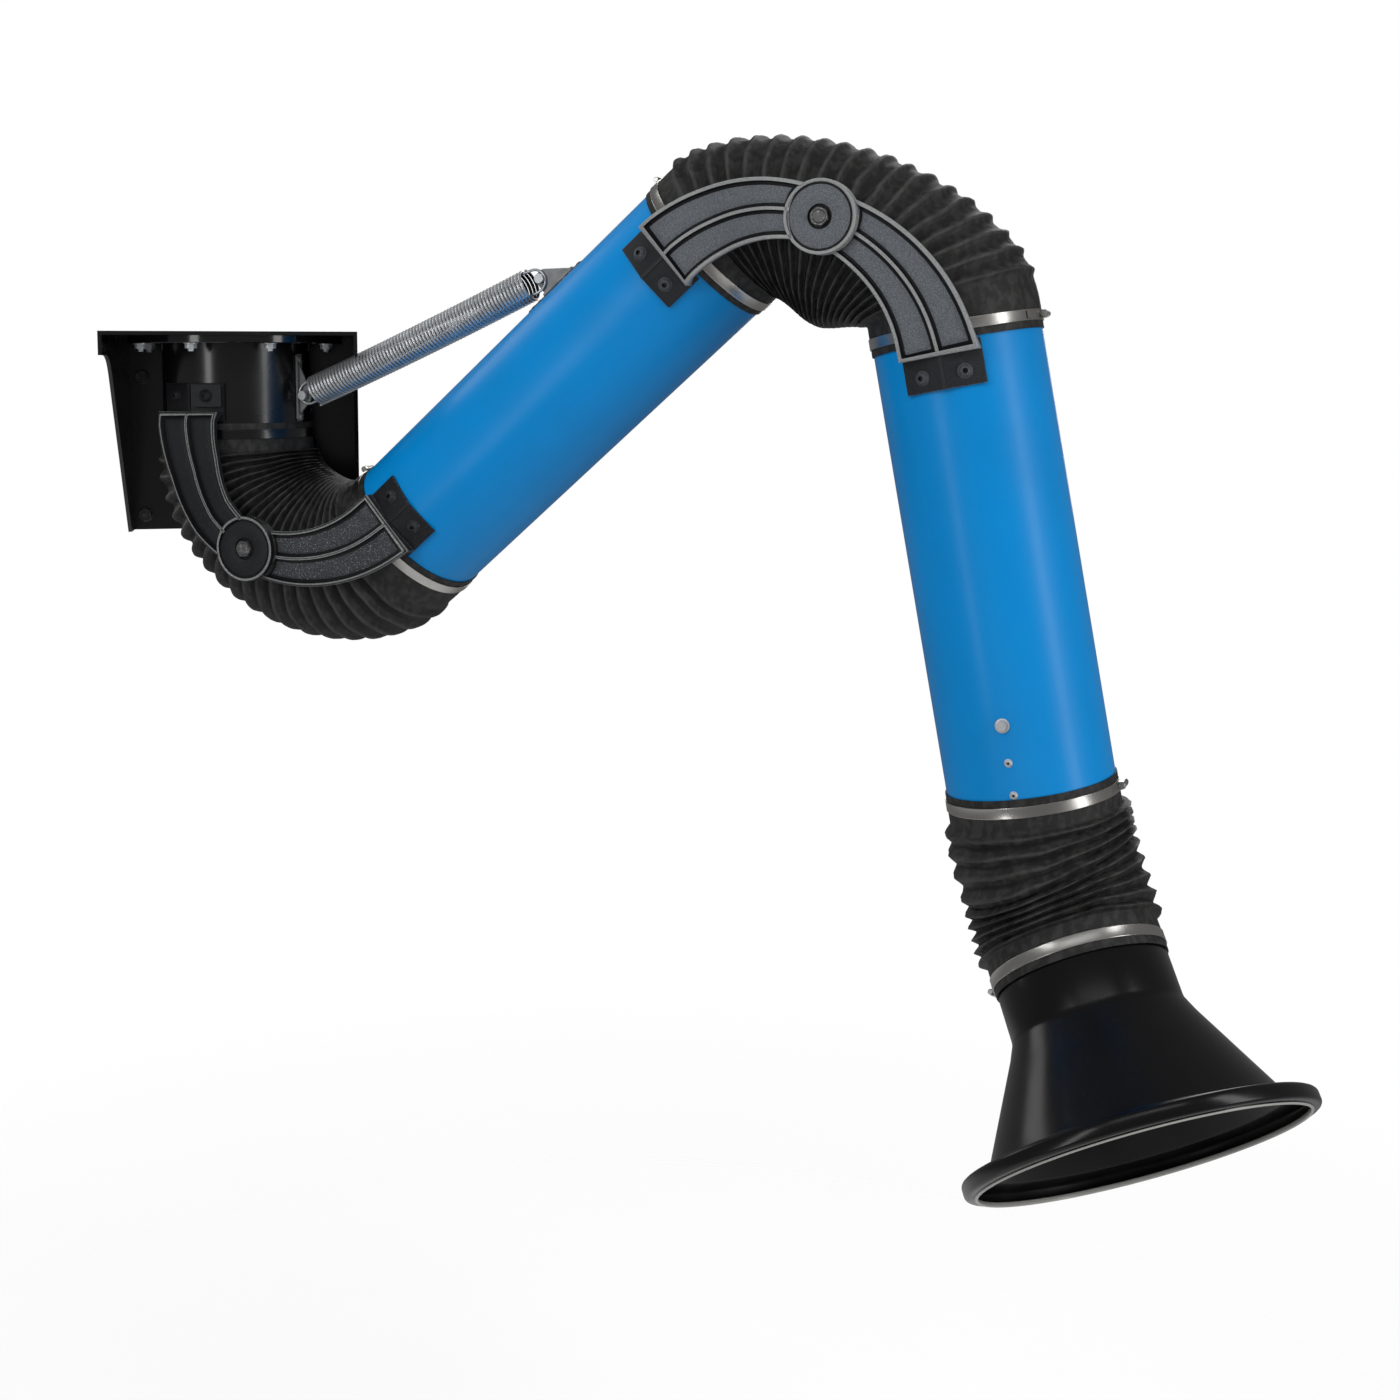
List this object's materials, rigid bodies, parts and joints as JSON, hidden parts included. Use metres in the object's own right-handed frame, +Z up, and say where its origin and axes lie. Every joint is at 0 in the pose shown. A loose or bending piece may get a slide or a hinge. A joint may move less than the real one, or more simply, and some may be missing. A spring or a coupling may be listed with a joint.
{
  "type": "fume extraction arm",
  "caption": "Wall-mounted fume extraction arm: swivel bracket, two duct tubes on friction elbows with flexible hoses, a balance spring and a gimballed conical hood.",
  "frame": {"origin": "middle of the wall bracket's rear face, on the wall", "axes": "+Y into the wall, +Z up, +X to the right seen from the room"},
  "size_m": [1.3704, 1.1405, 1.286],
  "materials": {
    "bracket_paint": "gloss",
    "slip_plastic": "satin",
    "wall_bolt_black": "satin",
    "hose_fabric": "matte",
    "collar_clamp_black": "satin",
    "casting_paint": "satin",
    "friction_lining": "matte",
    "pivot_zinc": "satin",
    "duct_blue": "gloss",
    "clamp_steel": "polished",
    "spring_wire": "satin",
    "anchor_zinc": "satin",
    "strip_black": "satin",
    "hood_paint": "gloss",
    "gimbal_zinc": "satin"
  },
  "bodies": {
    "wall_bracket": {"wall_bracket": "bracket_paint", "slip_ring": "slip_plastic", "retaining_ring": "bracket_paint", "wall_bolt_lower_left": "wall_bolt_black", "wall_bolt_lower_right": "wall_bolt_black", "wall_bolt_upper_left": "wall_bolt_black", "wall_bolt_upper_right": "wall_bolt_black"},
    "swivel": {"swivel_collar": "bracket_paint", "collar_clamp": "collar_clamp_black", "shoulder_hose": "hose_fabric", "spring_lower_anchor": "anchor_zinc", "spring_lower_bolt": "anchor_zinc", "balance_spring": "spring_wire", "collar_casting_front": "casting_paint", "collar_casting_rear": "casting_paint", "shoulder_friction_disc_front": "friction_lining", "shoulder_friction_disc_rear": "friction_lining", "shoulder_bolt_front": "pivot_zinc", "shoulder_bolt_rear": "pivot_zinc", "shoulder_nut_front": "pivot_zinc", "shoulder_nut_rear": "pivot_zinc"},
    "inner_arm": {"inner_tube": "duct_blue", "inner_lower_clamp": "clamp_steel", "inner_upper_clamp": "clamp_steel", "elbow_hose": "hose_fabric", "spring_anchor_strip": "strip_black", "spring_upper_anchor": "anchor_zinc", "spring_upper_bolt": "anchor_zinc", "inner_lower_casting_front": "casting_paint", "inner_lower_casting_rear": "casting_paint", "inner_upper_casting_front": "casting_paint", "inner_upper_casting_rear": "casting_paint", "elbow_friction_disc_front": "friction_lining", "elbow_friction_disc_rear": "friction_lining", "elbow_bolt_front": "pivot_zinc", "elbow_bolt_rear": "pivot_zinc", "elbow_nut_front": "pivot_zinc", "elbow_nut_rear": "pivot_zinc"},
    "outer_arm": {"outer_tube": "duct_blue", "outer_upper_clamp": "clamp_steel", "outer_lower_clamp": "clamp_steel", "hood_hose": "hose_fabric", "outer_casting_front": "casting_paint", "outer_casting_rear": "casting_paint", "tube_yoke_front": "gimbal_zinc", "tube_yoke_rear": "gimbal_zinc", "tube_yoke_pin_front": "gimbal_zinc", "tube_yoke_pin_rear": "gimbal_zinc"},
    "gimbal": {"gimbal_ring": "gimbal_zinc", "hood_yoke_pin_upper": "gimbal_zinc", "hood_yoke_pin_lower": "gimbal_zinc"},
    "hood": {"hood": "hood_paint", "hood_clamp": "clamp_steel", "hood_yoke_upper": "gimbal_zinc", "hood_yoke_lower": "gimbal_zinc"}
  },
  "joints": [
    {"name": "swivel_turn", "type": "hinge", "parent": "wall_bracket", "child": "swivel", "pos_m": [0, -0.1526, 0], "axis": [0, 0, 1], "range_deg": [-117, 2]},
    {"name": "shoulder", "type": "hinge", "parent": "swivel", "child": "inner_arm", "pos_m": [0.08818, -0.20867, -0.1444], "axis": [-0.5366, -0.8439, 0], "range_deg": [-55, 22], "deforming": ["shoulder_hose", "balance_spring"]},
    {"name": "elbow", "type": "hinge", "parent": "inner_arm", "child": "outer_arm", "pos_m": [0.76207, -0.63716, 0.26983], "axis": [-0.5366, -0.8439, 0], "range_deg": [-30, 100], "deforming": ["elbow_hose"]},
    {"name": "hood_tilt", "type": "hinge", "parent": "outer_arm", "child": "gimbal", "pos_m": [0.96931, -0.76893, -0.49556], "axis": [-0.5366, -0.8439, 0], "range_deg": [-56.9, 23.1], "deforming": ["hood_hose"]},
    {"name": "hood_swing", "type": "hinge", "parent": "gimbal", "child": "hood", "pos_m": [0.96931, -0.76893, -0.49556], "axis": [0.7504, -0.4771, 0.4574], "range_deg": [-12.3, 67.7]}
  ]
}
